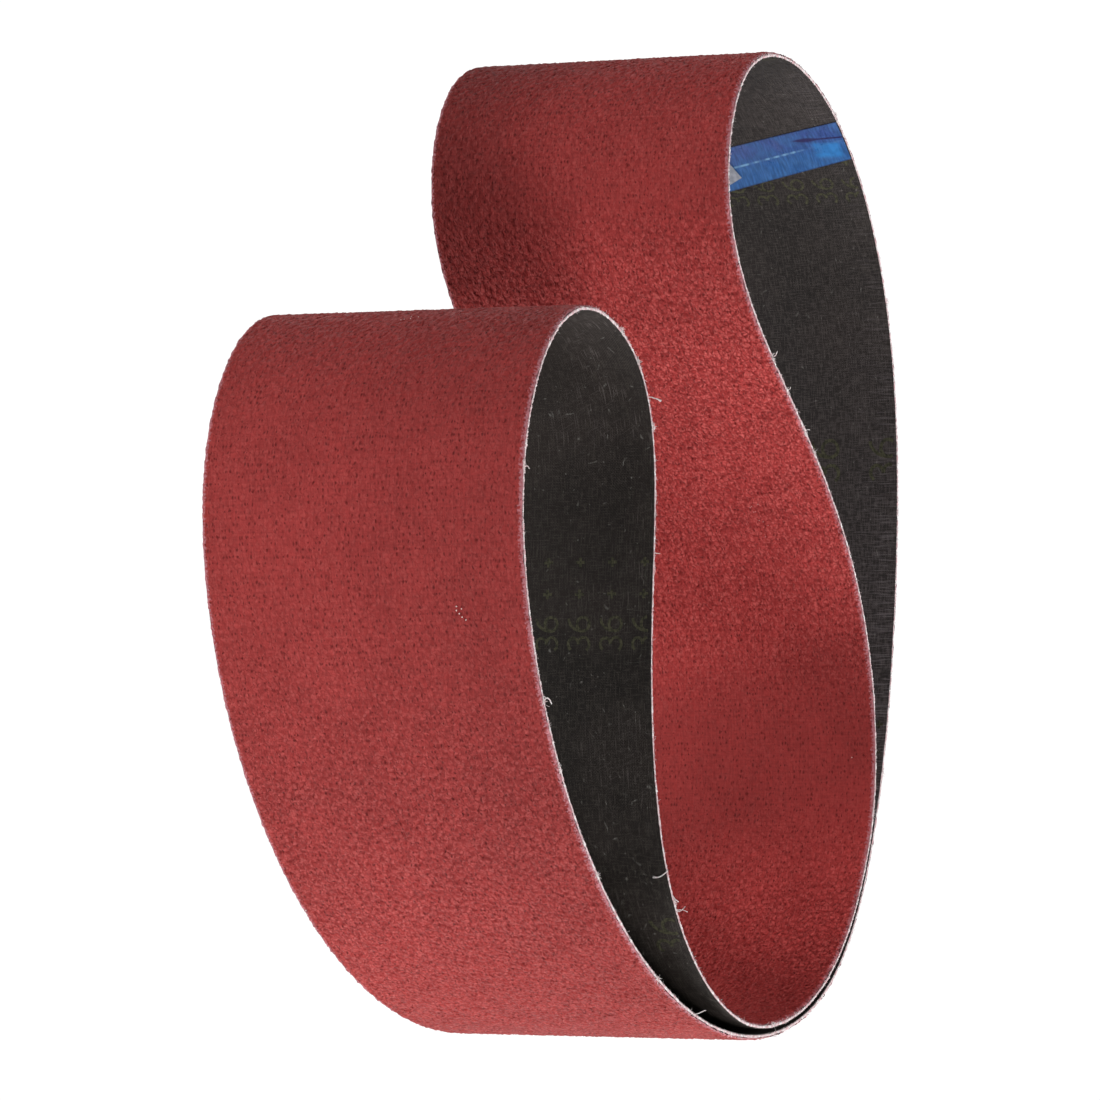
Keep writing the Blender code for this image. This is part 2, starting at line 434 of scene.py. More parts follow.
def tubes(paths, radii, sides):
    """Closed tubes along equally long paths: paths is (tubes, points, 3) in metres and radii is
    (tubes, points)."""
    count, length, _ = paths.shape
    along = np.gradient(paths, axis=1)
    along /= np.linalg.norm(along, axis=2, keepdims=True) + 1e-12
    guide = np.where(np.abs(along[:, :1, 2:3]) > 0.8, np.array([1.0, 0, 0]), np.array([0, 0, 1.0]))
    u = np.cross(along, np.broadcast_to(guide, along.shape))
    u /= np.linalg.norm(u, axis=2, keepdims=True) + 1e-12
    w = np.cross(along, u)
    turn = np.arange(sides) * 2 * math.pi / sides
    ring = u[:, :, None] * np.cos(turn)[None, None, :, None] + w[:, :, None] * np.sin(turn)[None, None, :, None]
    verts = paths[:, :, None] + ring * radii[:, :, None, None]
    verts = verts.reshape(-1, 3)
    faces = []
    k, i, j = np.meshgrid(np.arange(count), np.arange(length - 1), np.arange(sides), indexing="ij")
    a = k * length * sides + i * sides + j
    b = k * length * sides + i * sides + (j + 1) % sides
    body = np.stack([a, b, b + sides, a + sides], axis=-1).reshape(-1, 4)
    faces = body.tolist()
    for t in range(count):
        first = t * length * sides
        faces.append(list(range(first + sides - 1, first - 1, -1)))
        end = first + (length - 1) * sides
        faces.append(list(range(end, end + sides)))
    return verts, faces


# ---------------------------------------------------------------- materials
def shader(name, roughness, specular):
    mat = bpy.data.materials.new(name)
    mat.use_nodes = True
    tree = mat.node_tree
    node = tree.nodes["Principled BSDF"]
    node.inputs["Roughness"].default_value = roughness
    node.inputs["Specular IOR Level"].default_value = specular
    return mat, tree, node


def strip_of(tree):
    node = add(tree, "ShaderNodeAttribute", attribute_name="strip")
    return node.outputs["Vector"]


def mix(tree, factor, a, b, blend="MIX"):
    node = add(tree, "ShaderNodeMix", data_type="RGBA", blend_type=blend)
    node.clamp_factor = True
    feed(tree, node.inputs[0], factor)
    for socket, value in ((node.inputs[6], a), (node.inputs[7], b)):
        if isinstance(value, tuple):
            value = (*value, 1.0) if len(value) == 3 else value
        feed(tree, socket, value)
    return node.outputs[2]


def scaled(tree, colour, factor):
    """The colour times a number."""
    return vector(tree, "SCALE", colour, scale=factor)


def bumped(tree, node, height, distance, strength=1.0):
    bump = add(tree, "ShaderNodeBump")
    bump.inputs["Distance"].default_value = distance
    bump.inputs["Strength"].default_value = strength
    feed(tree, bump.inputs["Height"], height)
    tree.links.new(bump.outputs["Normal"], node.inputs["Normal"])


def grain_material():
    mat, tree, node = shader("red_ceramic_grain", 0.62, 0.13)
    strip = strip_of(tree)
    coat = first_of(tree, add(tree, "ShaderNodeAttribute", attribute_name="coat").outputs["Vector"])
    low, gain, painted_light = coat[0], coat[1], coat[2]
    high, hole, own = crystals(tree, strip)
    full = maths(tree, "MULTIPLY_ADD", low, 0.22, high)
    # the coat's red, drifting slowly over the belt
    drift = noises(tree, strip, 24.0, 2.0, 0.5)
    colour = mix(tree, ramp(tree, drift.outputs["Fac"], 0.3, 0.7), (0.338, 0.0412, 0.0390), (0.372, 0.0456, 0.0430))
    # each crystal a little lighter or darker; the tops lighter, partly dust and partly a painted highlight on the
    # lumps
    colour = scaled(tree, colour, ramp(tree, own[1], 0.0, 1.0, 0.97, 1.03, False))
    bold = maths(tree, "SUBTRACT", gain, 0.5)
    dust_and_sheen = ramp(tree, full, 0.78, 1.12)
    colour = mix(tree, maths(tree, "MULTIPLY", maths(tree, "MULTIPLY", dust_and_sheen, bold), 0.22), colour, (0.60, 0.132, 0.120))
    # painted shade: the red darkened between the lumps, where the grooves fall into shade
    deep = ramp(tree, full, 0.52, 0.84, 1.0, 0.0)
    colour = mix(tree, maths(tree, "MULTIPLY", maths(tree, "MULTIPLY", deep, bold), 0.22), colour, (0.150, 0.0095, 0.0100))
    # pits painted dark: partly the resin's own dark, partly painted shade in the pits
    colour = mix(tree, maths(tree, "MULTIPLY", hole, 0.84), colour, (0.110, 0.0085, 0.0085))
    # painted light and shade: the red made lighter or darker place by place
    colour = scaled(tree, colour, painted_light)
    # the weave below telegraphs through as faint lines both ways
    warp = noises(tree, vector(tree, "MULTIPLY", strip, (0.16, 1.7, 0.0)), 1.0, 0.0)
    weft = noises(tree, vector(tree, "MULTIPLY", strip, (1.7, 0.20, 0.0)), 1.0, 0.0)
    lines = maths(tree, "MULTIPLY_ADD", warp.outputs["Fac"], 1.3, weft.outputs["Fac"])
    colour = scaled(tree, colour, ramp(tree, lines, 0.8, 1.5, 0.91, 1.09, False))
    # the rim: resin chipped off, pale pink
    across = first_of(tree, strip)[1]
    from_edge = maths(tree, "MINIMUM", across, maths(tree, "SUBTRACT", WIDTH_MM, across))
    ragged = noises(tree, strip, 0.75, 1.0)
    reach = maths(tree, "MULTIPLY_ADD", ragged.outputs["Fac"], 2.5, -0.30)
    pale = ramp(tree, maths(tree, "SUBTRACT", reach, from_edge), -0.45, 0.75)
    colour = mix(tree, maths(tree, "MULTIPLY", pale, 0.66), colour, (0.60, 0.28, 0.32))
    tree.links.new(colour, node.inputs["Base Color"])
    rough = ramp(tree, own[2], 0.0, 1.0, 0.52, 0.82, False)
    tree.links.new(rough, node.inputs["Roughness"])
    height = maths(tree, "MULTIPLY_ADD", hole, -0.22, high)
    height = maths(tree, "MULTIPLY", height, maths(tree, "MULTIPLY_ADD", bold, GRAIN_BUMP * 0.5, GRAIN_BUMP * 0.55))
    bumped(tree, node, height, 0.001, 1.0)
    return mat


GRAIN_BUMP = 0.37


def backing_material():
    mat, tree, node = shader("black_woven_backing", 0.64, 0.26)
    strip = strip_of(tree)
    drift = noises(tree, strip, 26.0, 3.0)
    colour = mix(tree, ramp(tree, drift.outputs["Fac"], 0.3, 0.7), (0.0130, 0.0098, 0.0084), (0.0225, 0.0166, 0.0142))
    # yarns: short lighter runs along the belt and across it
    warp = noises(tree, vector(tree, "MULTIPLY", strip, (0.24, 2.6, 0.0)), 1.0, 2.0, 0.6)
    weft = noises(tree, vector(tree, "MULTIPLY", strip, (2.6, 0.33, 0.0)), 1.0, 2.0, 0.6)
    runs = ramp(tree, warp.outputs["Fac"], 0.46, 0.72)
    colour = mix(tree, maths(tree, "MULTIPLY", runs, 0.50), colour, (0.066, 0.056, 0.047))
    runs = ramp(tree, weft.outputs["Fac"], 0.48, 0.74)
    colour = mix(tree, maths(tree, "MULTIPLY", runs, 0.50), colour, (0.068, 0.058, 0.050))
    # the weave's own chequer
    wave_s = maths(tree, "SINE", maths(tree, "MULTIPLY", first_of(tree, strip)[0], 2 * math.pi / 0.92))
    wave_z = maths(tree, "SINE", maths(tree, "MULTIPLY", first_of(tree, strip)[1], 2 * math.pi / 0.86))
    chequer = maths(tree, "MULTIPLY", wave_s, wave_z)
    colour = scaled(tree, colour, ramp(tree, chequer, -1.0, 1.0, 0.72, 1.22, False))
    # fine scratches, most of them near the upper edge
    slanted = add(tree, "ShaderNodeVectorRotate", rotation_type="Z_AXIS")
    feed(tree, slanted.inputs["Vector"], strip)
    slanted.inputs["Angle"].default_value = math.radians(62)
    crossed = add(tree, "ShaderNodeVectorRotate", rotation_type="Z_AXIS")
    feed(tree, crossed.inputs["Vector"], strip)
    crossed.inputs["Angle"].default_value = math.radians(-38)
    tip = maths(tree, "MULTIPLY", ramp(tree, first_of(tree, strip)[0], 690.0, 715.0), ramp(tree, first_of(tree, strip)[0], 765.0, 820.0, 1.0, 0.0))
    tip = maths(tree, "MULTIPLY_ADD", tip, 0.9, 1.0)
    colour = mix(tree, maths(tree, "MULTIPLY_ADD", tip, 0.09, -0.09), colour, (0.088, 0.056, 0.050))
    for turned, faint in ((slanted.outputs[0], 0.10), (strip, 0.24), (crossed.outputs[0], 0.07)):
        fine = noises(tree, vector(tree, "MULTIPLY", turned, (0.13, 2.4, 0.0)), 1.0, 1.0, 0.6)
        scratch = ramp(tree, fine.outputs["Fac"], 0.63, 0.72)
        scratch = maths(tree, "MULTIPLY", scratch, ramp(tree, drift.outputs["Fac"], 0.42, 0.60))
        scratch = maths(tree, "MULTIPLY", scratch, ramp(tree, first_of(tree, strip)[1], 55.0, 96.0, 0.25, 1.0))
        scratch = maths(tree, "MULTIPLY", scratch, tip)
        colour = mix(tree, maths(tree, "MULTIPLY", scratch, faint), colour, (0.20, 0.17, 0.16))
    # lint and pale knots
    strewn = noises(tree, strip, 5.0, 0.0)
    strewn = vector(tree, "MULTIPLY_ADD", strewn.outputs["Color"], (5.0, 5.0, 0.0), strip)
    lint = cells(tree, vector(tree, "MULTIPLY", strewn, (0.7, 1.0, 0.0)), 2.7, 1.0)
    chosen = ramp(tree, first_of(tree, lint.outputs["Color"])[0], 0.55, 1.0)
    speck = maths(tree, "MULTIPLY", ramp(tree, lint.outputs["Distance"], 0.02, 0.14, 1.0, 0.0), chosen)
    speck = maths(tree, "MULTIPLY", speck, ramp(tree, warp.outputs["Fac"], 0.35, 0.60, 0.3, 1.0))
    colour = mix(tree, maths(tree, "MULTIPLY", speck, 0.75), colour, (0.23, 0.22, 0.20))
    along = first_of(tree, strip)[0]
    # lighter from s 15 to 400 and past s 1440: partly dust, partly painted sheen where the backing is seen at a
    # grazing angle
    dust_and_sheen = maths(tree, "MULTIPLY", ramp(tree, along, 15.0, 210.0, 0.20, 0.88), ramp(tree, along, 200.0, 400.0, 1.0, 0.0))
    dust_and_sheen = maths(tree, "MULTIPLY_ADD", ramp(tree, along, 1440.0, 1490.0), 0.30, dust_and_sheen)
    # dust and painted sheen sit on the yarns and leave the gaps between them dark
    yarns = maths(tree, "ADD", warp.outputs["Fac"], weft.outputs["Fac"])
    dust = mix(tree, ramp(tree, yarns, 0.84, 1.18), (0.052, 0.042, 0.042), (0.155, 0.124, 0.127))
    colour = mix(tree, maths(tree, "MULTIPLY", dust_and_sheen, 0.66), colour, dust)
    fray = noises(tree, vector(tree, "MULTIPLY", strip, (1.9, 0.11, 0.0)), 1.0, 1.0)
    fray = maths(tree, "MULTIPLY", ramp(tree, fray.outputs["Fac"], 0.50, 0.72), ramp(tree, first_of(tree, strip)[1], 80.0, 100.0, 0.0, 0.55))
    colour = mix(tree, maths(tree, "MULTIPLY", fray, dust_and_sheen), colour, (0.26, 0.22, 0.23))
    # the near lobe's narrow opening painted lighter, most of all low down: painted light against the shade that falls
    # between its walls
    painted_mouth_light = maths(tree, "MULTIPLY", ramp(tree, along, 885.0, 1010.0, 0.0, 2.4), ramp(tree, along, 1040.0, 1100.0, 1.0, 0.0))
    painted_mouth_light = maths(tree, "MULTIPLY", painted_mouth_light, ramp(tree, first_of(tree, strip)[1], 20.0, 100.0, 1.0, 0.25))
    colour = scaled(tree, colour, maths(tree, "ADD", painted_mouth_light, 1.0))
    tree.links.new(colour, node.inputs["Base Color"])
    tree.links.new(ramp(tree, drift.outputs["Fac"], 0.3, 0.7, 0.55, 0.70, False), node.inputs["Roughness"])
    height = maths(tree, "MULTIPLY", chequer, 0.045)
    height = maths(tree, "MULTIPLY_ADD", warp.outputs["Fac"], 0.10, height)
    height = maths(tree, "MULTIPLY_ADD", weft.outputs["Fac"], 0.08, height)
    bumped(tree, node, height, 0.001, 0.8)
    return mat


def yarn_material():
    mat, tree, node = shader("white_cut_yarn", 0.85, 0.2)
    strip = strip_of(tree)
    along = vector(tree, "MULTIPLY", strip, (1.0, 0.0, 0.0))
    patchy = noises(tree, along, 2.4, 3.0)
    colour = mix(tree, ramp(tree, patchy.outputs["Fac"], 0.34, 0.62), (0.86, 0.80, 0.80), (0.68, 0.44, 0.46))
    short = noises(tree, vector(tree, "MULTIPLY", strip, (1.0, 0.5, 0.8)), 0.5, 2.0)
    colour = scaled(tree, colour, ramp(tree, short.outputs["Fac"], 0.3, 0.7, 0.78, 1.06, False))
    tree.links.new(colour, node.inputs["Base Color"])
    bumped(tree, node, short.outputs["Fac"], 0.0002, 0.6)
    return mat


def fibre_material():
    mat, tree, node = shader("loose_fibre", 0.8, 0.2)
    where = add(tree, "ShaderNodeTexCoord").outputs["Object"]
    tint = noises(tree, vector(tree, "SCALE", where, scale=1000.0), 1.3, 1.0)
    tint.noise_dimensions = "3D"
    colour = mix(tree, ramp(tree, tint.outputs["Fac"], 0.35, 0.65), (0.90, 0.87, 0.86), (0.80, 0.66, 0.66))
    tree.links.new(colour, node.inputs["Base Color"])
    node.inputs["Sheen Weight"].default_value = 0.2
    return mat


def dusty_fibre_material():
    mat, tree, node = shader("dusty_fibre", 0.8, 0.2)
    where = add(tree, "ShaderNodeTexCoord").outputs["Object"]
    tint = noises(tree, vector(tree, "SCALE", where, scale=1000.0), 1.7, 1.0)
    tint.noise_dimensions = "3D"
    colour = mix(tree, ramp(tree, tint.outputs["Fac"], 0.35, 0.65), (0.10, 0.095, 0.085), (0.26, 0.25, 0.23))
    tree.links.new(colour, node.inputs["Base Color"])
    return mat


def print_material():
    mat, tree, node = shader("faded_print", 0.7, 0.25)
    strip = strip_of(tree)
    worn = noises(tree, strip, 1.1, 3.0, 0.65)
    colour = mix(tree, ramp(tree, worn.outputs["Fac"], 0.34, 0.60), (0.032, 0.030, 0.019), (0.080, 0.076, 0.044))
    weave = noises(tree, vector(tree, "MULTIPLY", strip, (0.4, 2.8, 0.0)), 1.0, 1.0)
    colour = scaled(tree, colour, ramp(tree, weave.outputs["Fac"], 0.3, 0.7, 0.75, 1.2, False))
    tree.links.new(colour, node.inputs["Base Color"])
    bumped(tree, node, weave.outputs["Fac"], 0.0001, 0.5)
    return mat


def tape_material():
    mat, tree, node = shader("blue_splice_film", 0.30, 0.5)
    strip = strip_of(tree)
    parts = first_of(tree, strip)
    along, across = parts[0], parts[1]
    # distance from the joint, square to it
    joint = maths(tree, "MULTIPLY_ADD", across, -1.0 / math.tan(JOINT_ANGLE), WIDTH_MM / 2 / math.tan(JOINT_ANGLE))
    d = maths(tree, "MULTIPLY", maths(tree, "SUBTRACT", along, joint), math.sin(JOINT_ANGLE))
    cloud = noises(tree, strip, 6.0, 3.0, 0.6)
    colour = mix(tree, ramp(tree, d, -5.0, 4.0), (0.052, 0.098, 0.315), (0.038, 0.135, 0.385))
    colour = mix(tree, ramp(tree, cloud.outputs["Fac"], 0.35, 0.70, 0.0, 0.6), colour, (0.050, 0.165, 0.420))
    # streaks of uneven glue, square to the tape
    streak = noises(tree, vector(tree, "MULTIPLY", strip, (0.22, 1.4, 0.0)), 1.0, 3.0, 0.6)
    colour = scaled(tree, colour, ramp(tree, streak.outputs["Fac"], 0.32, 0.70, 0.72, 1.25, False))
    # the butt joint shines through as a pale broken line
    broken = noises(tree, vector(tree, "MULTIPLY", strip, (0.0, 1.0, 0.0)), 3.2, 2.0)
    line = maths(tree, "MULTIPLY", ramp(tree, maths(tree, "ABSOLUTE", d), 0.15, 0.62, 1.0, 0.0),
                 ramp(tree, broken.outputs["Fac"], 0.38, 0.62, 0.15, 1.0))
    line = maths(tree, "MULTIPLY", line, ramp(tree, across, 80.0, 86.0, 1.0, 0.15))
    colour = mix(tree, maths(tree, "MULTIPLY", line, 0.75), colour, (0.27, 0.52, 0.80))
    # a dark purple crease near the top end, its dark line painted shade in the fold
    crease_at = maths(tree, "MULTIPLY_ADD", across, -0.066, -7.75)
    off_line = maths(tree, "ABSOLUTE", maths(tree, "SUBTRACT", along, crease_at))
    wide = ramp(tree, maths(tree, "ABSOLUTE", maths(tree, "SUBTRACT", across, 86.8)), 0.5, 4.5, 1.2, 0.45)
    crease_shade = ramp(tree, maths(tree, "DIVIDE", off_line, wide), 0.35, 1.25, 1.0, 0.0)
    crease_shade = maths(tree, "MULTIPLY", crease_shade, ramp(tree, across, 80.5, 84.0))
    colour = mix(tree, maths(tree, "MULTIPLY", crease_shade, 0.85), colour, (0.030, 0.016, 0.085))
    # a bubble under the film beside it, bright blue
    side = maths(tree, "MULTIPLY",
                 ramp(tree, along, -12.6, -10.8), ramp(tree, along, -6.6, -4.2, 1.0, 0.0))
    side = maths(tree, "MULTIPLY", side, maths(
        tree, "MULTIPLY", ramp(tree, across, 87.4, 89.6), ramp(tree, across, 96.4, 98.6, 1.0, 0.0)))
    blotch = ramp(tree, cloud.outputs["Fac"], 0.25, 0.6, 0.45, 1.0)
    colour = mix(tree, maths(tree, "MULTIPLY", maths(tree, "MULTIPLY", side, blotch), 0.85), colour,
                 (0.040, 0.270, 0.700))
    # dark glue line along both long edges
    rim = ramp(tree, maths(tree, "ABSOLUTE", d), 8.15, 8.65)
    colour = mix(tree, maths(tree, "MULTIPLY", rim, 0.55), colour, (0.020, 0.020, 0.060))
    tree.links.new(colour, node.inputs["Base Color"])
    tree.links.new(ramp(tree, cloud.outputs["Fac"], 0.3, 0.7, 0.26, 0.42, False), node.inputs["Roughness"])
    height = maths(tree, "MULTIPLY", streak.outputs["Fac"], 0.05)
    height = maths(tree, "MULTIPLY_ADD", cloud.outputs["Fac"], 0.10, height)
    bumped(tree, node, height, 0.001, 0.5)
    return mat


def pale_film_material():
    mat, tree, node = shader("pale_film_patch", 0.4, 0.4)
    strip = strip_of(tree)
    cloud = noises(tree, strip, 2.2, 3.0)
    colour = mix(tree, ramp(tree, cloud.outputs["Fac"], 0.3, 0.7), (0.30, 0.31, 0.36), (0.42, 0.43, 0.49))
    tree.links.new(colour, node.inputs["Base Color"])
    bumped(tree, node, cloud.outputs["Fac"], 0.0001, 0.5)
    return mat


def fleck_material():
    mat, tree, node = shader("pale_grain_fleck", 0.5, 0.5)
    where = add(tree, "ShaderNodeTexCoord").outputs["Object"]
    tint = noises(tree, vector(tree, "SCALE", where, scale=1000.0), 0.8, 1.0)
    tint.noise_dimensions = "3D"
    colour = mix(tree, ramp(tree, tint.outputs["Fac"], 0.3, 0.7), (0.80, 0.62, 0.60), (0.88, 0.80, 0.78))
    tree.links.new(colour, node.inputs["Base Color"])
    bumped(tree, node, tint.outputs["Fac"], 0.0001, 0.5)
    return mat


GRAIN = grain_material()
BACKING = backing_material()
YARN = yarn_material()
FIBRE = fibre_material()
DUSTY_FIBRE = dusty_fibre_material()
PRINT = print_material()
FILM = tape_material()
PALE_FILM = pale_film_material()
FLECK = fleck_material()

rng = np.random.default_rng(36)


def keep(obj, node="abrasive_strip"):
    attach(obj, "root")
    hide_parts(node)
    return obj


# ---------------------------------------------------------------- grain coat
ROWS_Z = np.concatenate([[0.0, 0.28, 0.70], np.linspace(1.25, WIDTH_MM - 1.25, 157), WIDTH_MM - np.array([0.70, 0.28, 0.0])])


def near_joint(s):
    """1 at the joint's ends and 0 from 80 mm away: how far columns follow the joint's slant."""
    s = np.asarray(s, float)
    return np.clip(1 - np.minimum(np.abs(s), np.abs(LOOP_MM - s)) / 80.0, 0, 1)


def grain_columns(first, last, step):
    count = max(2, int(round((last - first) / step)) + 1)
    return np.linspace(first, last, count)


def relief(s):
    """How boldly the grain stands out, place by place along the belt."""
    at, gain = zip(*RELIEF)
    return np.interp(np.asarray(s, float) % LOOP_MM, at, gain)


def painted_light(s, z):
    """How light the coat's red is, place by place: painted light and shade in bands along the belt, a painted shadow
    slanting across the hollow, painted shade low on the rear lobe, and darker towards the top of the front.
    """
    at, factor = zip(*PAINTED_LIGHT)
    hollow = smooth(1040, 1090, s) * smooth(1230, 1190, s)
    found = np.interp((s - 0.45 * (z - 50) * hollow) % LOOP_MM, at, factor)
    front = smooth(390, 430, s) * smooth(740, 700, s)
    rear = smooth(1330, 1350, s) * smooth(1470, 1430, s)
    found *= 1 + front * (np.interp(z, (8, 30, 85), (1.00, 1.0, 0.86)) - 1)
    return found * (1 + rear * (np.interp(z, (8, 30, 54), (0.66, 0.81, 1.0)) - 1))


RELIEF = (
    (0, 1.3), (400, 2.3), (472, 2.4), (534, 1.9), (575, 1.4), (621, 1.1), (650, 1.1), (690, 1.5), (930, 1.3),
    (1060, 1.9), (1085, 2.1), (1117, 1.4), (1134, 0.8), (1158, 0.9), (1189, 2.1), (1208, 2.4), (1248, 2.8),
    (1310, 3.1), (1330, 2.8), (1352, 2.4), (1366, 1.8), (1374, 1.3), (1409, 1.6), (1525, 1.3),
)
FLANKS = 0.75
# painted light and shade along the belt, as a factor on the coat's red
PAINTED_LIGHT = (
    (0, 1.0), (380, 1.0), (445, 1.12), (472, 1.08), (534, 0.92), (575, 0.95), (621, 1.00), (672, 0.97), (700, 1.0),
    (1040, 1.14), (1067, 1.36), (1098, 1.22), (1114, 1.02), (1128, 0.82), (1165, 0.86), (1186, 1.10), (1248, 1.22),
    (1312, 1.33), (1330, 1.12), (1352, 1.04), (1372, 0.92), (1430, 0.97), (1525, 1.0),
)


def grain_coat(name, columns):
    step = np.diff(columns)
    wide = np.concatenate([[columns[0] - step[0]], columns, [columns[-1] + step[-1]]])
    s = wide[:, None] + slant(ROWS_Z)[None, :] * near_joint(wide)[:, None]
    z = np.broadcast_to(ROWS_Z[None, :], s.shape).copy()
    high = sampled(s, z)
    # chipped rim: the coat thins and stops short of the cut here and there
    chip_top = 0.30 * smooth(0.45, 0.95, noise(s[:, -1], 0, 1.3, 21)) + 0.12 * noise(s[:, -1], 0, 0.6, 22)
    chip_low = 0.30 * smooth(0.45, 0.95, noise(s[:, 0], 0, 1.3, 23)) + 0.12 * noise(s[:, 0], 0, 0.6, 24)
    z[:, -1] -= chip_top
    z[:, -2] -= chip_top * 0.8
    z[:, -3] -= chip_top * 0.3
    z[:, 0] += chip_low + 0.05
    z[:, 1] += chip_low * 0.8
    z[:, 2] += chip_low * 0.3
    rim = np.minimum(ROWS_Z, WIDTH_MM - ROWS_Z)[None, :]
    base = CLOTH_T * 500 + GRAIN_T * 1000 - 0.17
    base = base + 0.07 * (noise(s, z, 5.5, 31) - 0.5) + 0.06 * (noise(s, z, 17.0, 32) - 0.5)
    base = base - smooth(1.4, 0.0, rim) * (0.22 + 0.30 * noise(s, z, 0.9, 33))
    gain = relief(s)
    off = base + np.minimum(0.36 * gain, 0.62) * (high - 1.29)
    off = np.clip(off, CLOTH_T * 500 + 0.10, CLOTH_T * 500 + GRAIN_T * 1000 + 0.12)
    # shading follows the lumps' flanks, steeper than this spacing of points can hold
    points = place(s, z, base + FLANKS * (gain - 0.5) * (high - 1.29))
    across = np.gradient(points, axis=1)
    along = (points[2:] - points[:-2])
    n = np.cross(across[1:-1], along)
    n /= np.linalg.norm(n, axis=2, keepdims=True)
    s, z, off, high, gain = s[1:-1], z[1:-1], off[1:-1], high[1:-1], gain[1:-1]
    inner_z = np.linspace(0.1, WIDTH_MM - 0.1, 6)
    inner_s = columns[:, None] + slant(inner_z)[None, :] * near_joint(columns)[:, None]
    obj = slab(
        name, s, z, off,
        inner_s, np.broadcast_to(inner_z[None, :], inner_s.shape), CLOTH_T * 500 + 0.02,
        [GRAIN], normals=n, coat=np.stack([high, gain, painted_light(s, z)], axis=-1),
    )
    return keep(obj)


HALF_KERF = JOINT_KERF * 500
coats = [
    grain_coat("grain_coat_back", grain_columns(HALF_KERF, 400, 1.2)),
    grain_coat("grain_coat_front", grain_columns(400, 690, 0.6)),
    grain_coat("grain_coat_inner", grain_columns(690, 930, 1.0)),
    grain_coat("grain_coat_hollow", grain_columns(930, 1200, 0.6)),
    grain_coat("grain_coat_rear", np.concatenate([
        grain_columns(1200, 1470, 0.6), grain_columns(1470, LOOP_MM - HALF_KERF, 1.0)[1:]])),
]


# ---------------------------------------------------------------- cloth backing
def cloth():
    columns = np.linspace(HALF_KERF, LOOP_MM - HALF_KERF, 763)
    rows = np.linspace(0.12, WIDTH_MM - 0.12, 21)
    s = columns[:, None] + slant(rows)[None, :] * near_joint(columns)[:, None]
    z = np.broadcast_to(rows[None, :], s.shape)
    inside = -CLOTH_T * 500 + 0.05 * (noise(s, z, 7.0, 41) - 0.5) + 0.04 * (noise(s, z, 3.0, 42) - 0.5)
    obj = slab(
        "cloth_backing", s, z, np.full(s.shape, CLOTH_T * 500), s, z, inside,
        [BACKING], rim_material=0,
    )
    return keep(obj)


backing = cloth()


# ---------------------------------------------------------------- cut edges: yarn ends side by side
def cut_edge(name, top, pitch):
    count = int(LOOP_MM / pitch)
    s = (np.arange(count * 2 + 1) * pitch / 2) * (LOOP_MM - 2 * HALF_KERF) / (count * pitch) + HALF_KERF
    edge_z = WIDTH_MM if top else 0.0
    s = s + slant(edge_z) * near_joint(s)
    yarn_id = np.arange(len(s)) // 2
    zero = np.zeros_like(yarn_id)
    seed = 51 if top else 61
    own = lattice(yarn_id, zero, seed)
    gap = (np.arange(len(s)) % 2 == 0).astype(float)
    run = noise(s, 0, 6.0, seed + 1)
    wide = 0.33 + 0.20 * own - 0.10 * gap + 0.10 * (run - 0.5)
    lift = 0.08 + 0.26 * own ** 2 + 0.20 * smooth(0.58, 0.95, run) - 0.12 * gap
    sway = 0.14 * (noise(s, 0, 3.2, seed + 2) - 0.5) + 0.14 * (lattice(yarn_id, zero, seed + 3) - 0.5)
    angle = np.radians([-25, 20, 60, 100, 140, 180, 205])[None, :]
    off = 0.11 + sway[:, None] + wide[:, None] * np.cos(angle)
    rise = np.sin(angle)
    rise = np.where(rise < 0, rise * 0.9, rise * (lift[:, None] + 0.10) / 0.42)
    jitter = (lattice(yarn_id[:, None] * 7 + np.arange(7)[None, :], np.zeros((len(s), 7), int), seed + 4) - 0.5) * 0.30
    height = rise * 0.42 + jitter * (rise > 0.1)
    if top:
        z = WIDTH_MM - 0.12 + height * 0.72
    else:
        z = 0.30 - height * 0.62
        z = np.maximum(z, 0.005)
    columns, rows = off.shape
    ss = np.broadcast_to(s[:, None], off.shape)
    verts = place(ss, z, off).reshape(-1, 3)
    strip = np.stack([ss, z, off], axis=-1).reshape(-1, 3)
    i, j = np.meshgrid(np.arange(columns - 1), np.arange(rows), indexing="ij")
    a, b = i * rows + j, i * rows + (j + 1) % rows
    quads = np.stack([a, b, b + rows, a + rows], axis=-1).reshape(-1, 4)
    if top:
        quads = quads[:, ::-1]
    faces = quads.tolist()
    ends = [list(range(rows)), list(range((columns - 1) * rows, columns * rows))]
    faces.append(ends[0] if top else ends[0][::-1])
    faces.append(ends[1][::-1] if top else ends[1])
    obj = mesh_object(name, verts, faces, [YARN], strip=strip)
    return keep(obj)


edge_top = cut_edge("cut_edge_top", True, 0.56)
edge_low = cut_edge("cut_edge_bottom", False, 1.30)


